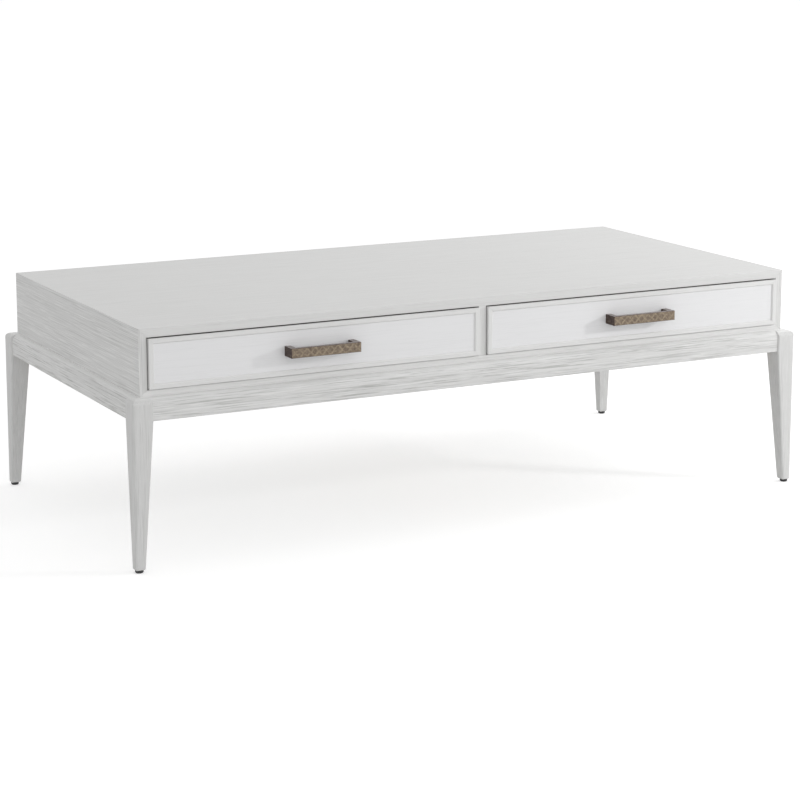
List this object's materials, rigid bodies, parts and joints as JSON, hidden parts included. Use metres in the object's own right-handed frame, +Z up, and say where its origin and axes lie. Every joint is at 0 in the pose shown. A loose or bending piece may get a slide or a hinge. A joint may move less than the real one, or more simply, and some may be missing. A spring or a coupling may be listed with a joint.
{
  "type": "coffee table with drawers",
  "caption": "Low rectangular coffee table in white-washed wood, with side-by-side drawers on telescopic slides, bar pulls, and a base of rounded rails and tapered legs.",
  "frame": {"origin": "on the floor below the middle of the case", "axes": "+X to the right along the table, +Y from the drawer fronts to the back, +Z up"},
  "size_m": [1.489, 0.7635, 0.457],
  "materials": {
    "limed_oak": "white-washed, wire-brushed, matte",
    "drawer_panel_veneer": "white-washed, smooth, matte",
    "drawer_box_wood": "clear lacquer, satin",
    "birch_plywood": "clear lacquer, satin",
    "frame_softwood": "planed, unfinished",
    "antiqued_bronze": "antiqued, etched face",
    "black_nylon": "moulded, matte",
    "zinc_plated_steel": "zinc plated"
  },
  "bodies": {
    "table": {"back_left_corner_block": "frame_softwood", "back_left_leg": "limed_oak", "back_right_corner_block": "frame_softwood", "back_right_leg": "limed_oak", "base_back_rail": "limed_oak", "base_cross_rail": "frame_softwood", "base_front_rail": "limed_oak", "base_left_rail": "limed_oak", "base_right_rail": "limed_oak", "case_back": "limed_oak", "case_bottom": "limed_oak", "case_left_end": "limed_oak", "case_partition": "limed_oak", "case_right_end": "limed_oak", "case_screws": "zinc_plated_steel", "case_top": "limed_oak", "front_left_corner_block": "frame_softwood", "front_left_leg": "limed_oak", "front_right_corner_block": "frame_softwood", "front_right_leg": "limed_oak", "left_drawer_slide_cabinet_members": "zinc_plated_steel", "leg_glides": "black_nylon", "right_drawer_slide_cabinet_members": "zinc_plated_steel"},
    "left_drawer": {"left_drawer_box_back": "drawer_box_wood", "left_drawer_box_bottom": "birch_plywood", "left_drawer_box_front": "drawer_box_wood", "left_drawer_box_left_side": "drawer_box_wood", "left_drawer_box_right_side": "drawer_box_wood", "left_drawer_frame_bottom": "limed_oak", "left_drawer_frame_left": "limed_oak", "left_drawer_frame_right": "limed_oak", "left_drawer_frame_top": "limed_oak", "left_drawer_panel": "drawer_panel_veneer", "left_drawer_pull": "antiqued_bronze", "left_drawer_pull_screws": "zinc_plated_steel", "left_drawer_slide_drawer_members": "zinc_plated_steel"},
    "right_drawer": {"right_drawer_box_back": "drawer_box_wood", "right_drawer_box_bottom": "birch_plywood", "right_drawer_box_front": "drawer_box_wood", "right_drawer_box_left_side": "drawer_box_wood", "right_drawer_box_right_side": "drawer_box_wood", "right_drawer_frame_bottom": "limed_oak", "right_drawer_frame_left": "limed_oak", "right_drawer_frame_right": "limed_oak", "right_drawer_frame_top": "limed_oak", "right_drawer_panel": "drawer_panel_veneer", "right_drawer_pull": "antiqued_bronze", "right_drawer_pull_screws": "zinc_plated_steel", "right_drawer_slide_drawer_members": "zinc_plated_steel"},
    "left_slide_middles": {"left_drawer_slide_middle_members": "zinc_plated_steel"},
    "right_slide_middles": {"right_drawer_slide_middle_members": "zinc_plated_steel"}
  },
  "joints": [
    {"name": "left_drawer_slide", "type": "slide", "parent": "table", "child": "left_drawer", "axis": [0, -1, 0], "range_m": [0, 0.5]},
    {"name": "left_middle_slide", "type": "slide", "parent": "table", "child": "left_slide_middles", "axis": [0, -1, 0], "range_m": [0, 0.25]},
    {"name": "right_drawer_slide", "type": "slide", "parent": "table", "child": "right_drawer", "axis": [0, -1, 0], "range_m": [0, 0.5]},
    {"name": "right_middle_slide", "type": "slide", "parent": "table", "child": "right_slide_middles", "axis": [0, -1, 0], "range_m": [0, 0.25]}
  ],
  "couplings": [
    {"joint": "left_middle_slide", "follows": "left_drawer_slide", "ratio": 0.5},
    {"joint": "right_middle_slide", "follows": "right_drawer_slide", "ratio": 0.5}
  ]
}
